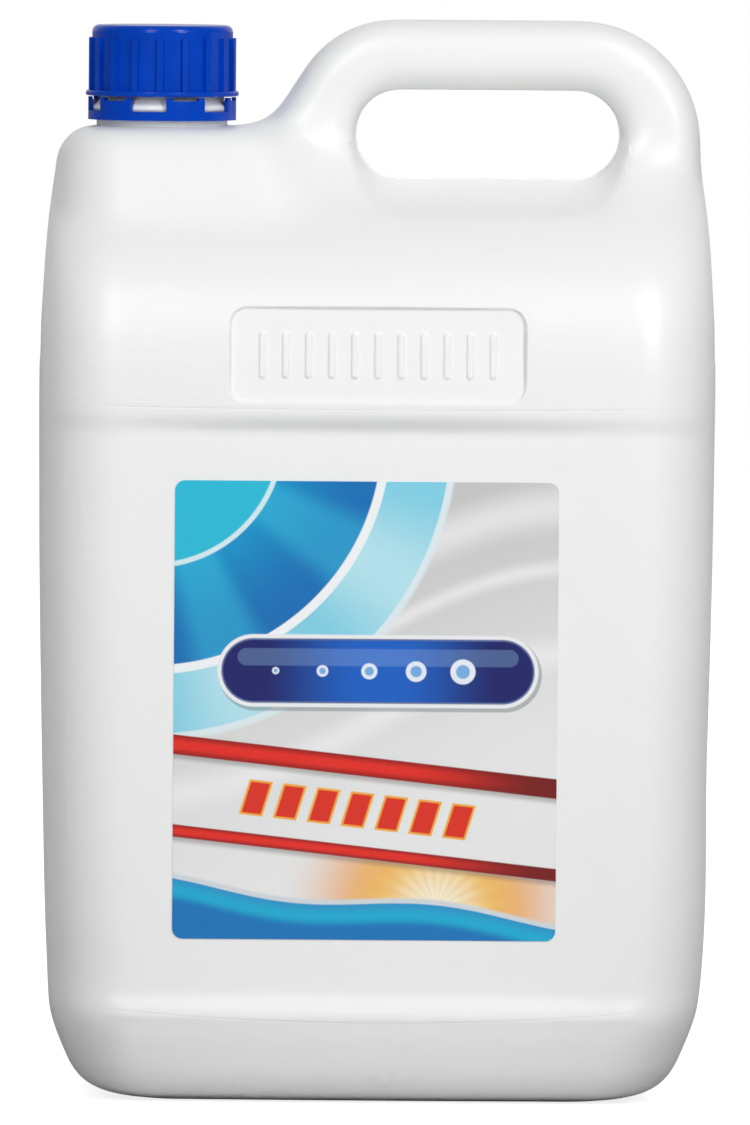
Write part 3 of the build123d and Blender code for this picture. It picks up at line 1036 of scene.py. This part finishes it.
def label_back():
    finish = new_finish("label_back_film")
    spot, (x, y, z) = finish.place()
    sheet = Print(finish, "back_label", x, z, -1)
    silver_ground(sheet)
    sheet.lay(sheet.up.rise(HEAD_DARK_FROM, HEAD_DARK_FROM + 0.3), shade(0, 120, 190))
    sheet.lay(sheet.up.rise(HEAD_BRIGHT_FROM, HEAD_BRIGHT_FROM + 0.3), shade(20, 178, 214))
    sheet.lay(sheet.band(*RED_LINE), shade(212, 34, 24))
    for middle, half in BOXES:
        for trim, colour in ((0.0, shade(60, 120, 176)), (BOX_LINE, shade(238, 244, 247))):
            height = sheet.band(middle - half + trim, middle + half - trim, 0.1)
            sheet.lay(sheet.strip(BOX_HALF_WIDTH - trim) * height, colour)
    return film_surface(finish, spot, sheet)


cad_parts["back_label"].material_slots[0].material = label_back()
print("back label has", len(BOXES), "blank boxes")

# %% [markdown]
# ## Floor
# The photograph has a plain white ground. The floor is matt and pale, and what the camera sees of it is
# lifted to white by a glow that only camera rays meet, so no extra light reaches the bottle and its
# shadow stays. White on white needs help at its edges: a white card lies before the bottle and lights
# its foot from below, and a dark card lies close to each side and keeps the lower corners dark. The
# cards act on the light alone, and the camera sees the plain floor.

# %% Floor and cards
FLOOR_GREY, CARD_WHITE, CARD_DARK = 0.64, 0.71, 0.36
CAMERA_GLOW = 0.81
FLOOR_HALF_SIZE = 40.0
# Edges of the cards, in metres: each pair is where one starts or ends, softly.
DARK_FROM, DARK_TO, DARK_ENDS = (0.06, 0.09), (0.22, 0.30), (0.12, 0.24)
WHITE_SIDES, WHITE_FROM, WHITE_TO = (0.04, 0.10), (0.02, 0.05), (0.6, 0.9)


def grey(value):
    return (value, value, value, 1.0)


def cards(finish):
    """Colour of the floor as the light meets it."""
    _, (x, y, _) = finish.place()
    ahead = -1 * y
    dark = abs(x).rise(*DARK_FROM) * (1 - abs(x).rise(*DARK_TO)) * (1 - abs(y).rise(*DARK_ENDS))
    white = (1 - abs(x).rise(*WHITE_SIDES)) * ahead.rise(*WHITE_FROM) * (1 - ahead.rise(*WHITE_TO))
    return finish.mix(white, finish.mix(dark, grey(FLOOR_GREY), grey(CARD_DARK)), grey(CARD_WHITE))


def floor_finish():
    finish = new_finish("floor")
    seen = finish.node("ShaderNodeLightPath", output="Is Camera Ray")
    colour = finish.mix(seen, cards(finish), grey(FLOOR_GREY))
    matt = finish.node("ShaderNodeBsdfDiffuse", None, {"Color": colour})
    glow = finish.node("ShaderNodeEmission", None, {"Color": grey(1.0), "Strength": seen * CAMERA_GLOW})
    return finish.ends_in(finish.node("ShaderNodeAddShader", None, [matt, glow]))


def make_floor():
    form = bmesh.new()
    bmesh.ops.create_grid(form, x_segments=8, y_segments=8, size=FLOOR_HALF_SIZE)
    floor = object_from(form, "floor")
    floor.data.materials.append(floor_finish())
    print("floor", [round(v, 1) for v in floor.dimensions[:2]], "m")


make_floor()

# %% [markdown]
# ## Light
# The bottle stands before a bright backdrop, which lights its sides from behind, with a dim room in
# front and some light from above. Two tall soft boxes stand in front, and the right one is stronger.
# The world does the backdrop and the room: its strength rises towards +Y and upwards.

# %% Room
TOWARDS_BACK, UPWARDS = (0.1, 0.95), (0.3, 1.0)


def make_world(front, back, top):
    world = bpy.data.worlds.new("room")
    scene.world = world
    room = Finish(world, "ShaderNodeOutputWorld")
    seen = room.node("ShaderNodeLightPath", output="Is Camera Ray")
    _, (x, y, z) = room.place("Generated")
    strength = front + y.rise(*TOWARDS_BACK) * (back - front) + z.rise(*UPWARDS) * top
    shown = {"Color": grey(1.0), "Strength": seen.most(strength)}
    room.ends_in(room.node("ShaderNodeBackground", None, shown))
    print("room", front, "in front,", back, "behind")


make_world(front=0.14, back=0.72, top=0.08)

# %% [markdown]
# Each soft box is placed by its direction and distance from the middle of the bottle, and turned to face
# it. A wide one stands behind, for the bottle's back, and isn't mirrored in the plastic, since it would
# draw a hard glare along the sill of the hand hole.

# %% Soft boxes
AIM = Vector((0, 0, 0.16))            # middle of the bottle


def soft_box(name, azimuth, elevation, distance, width, height, watts, mirrored=True):
    lamp = bpy.data.lights.new(name, "AREA")
    lamp.shape = "RECTANGLE"
    lamp.size, lamp.size_y = width, height
    lamp.energy = watts
    box = bpy.data.objects.new(name, lamp)
    scene.collection.objects.link(box)
    box.visible_glossy = mirrored
    a, e = math.radians(azimuth), math.radians(elevation)
    towards = Vector((math.sin(a) * math.cos(e), -math.cos(a) * math.cos(e), math.sin(e)))
    box.location = AIM + towards * distance
    box.rotation_euler = (-towards).to_track_quat("-Z", "Y").to_euler()
    print(name, "at", [round(v, 2) for v in box.location])


tall = {"elevation": 32, "distance": 1.8, "width": 0.35, "height": 1.4}
soft_box("right_box", azimuth=32, watts=16, **tall)
soft_box("left_box", azimuth=-22, watts=11.2, **tall)
wide = {"elevation": 28, "distance": 2.4, "width": 1.2, "height": 1.2}
soft_box("back_box", azimuth=180, watts=10, mirrored=False, **wide)

# %% [markdown]
# ## Picture
# The picture is taken as it is, with the Standard view.

# %% Standard view
scene.view_settings.view_transform = "Standard"
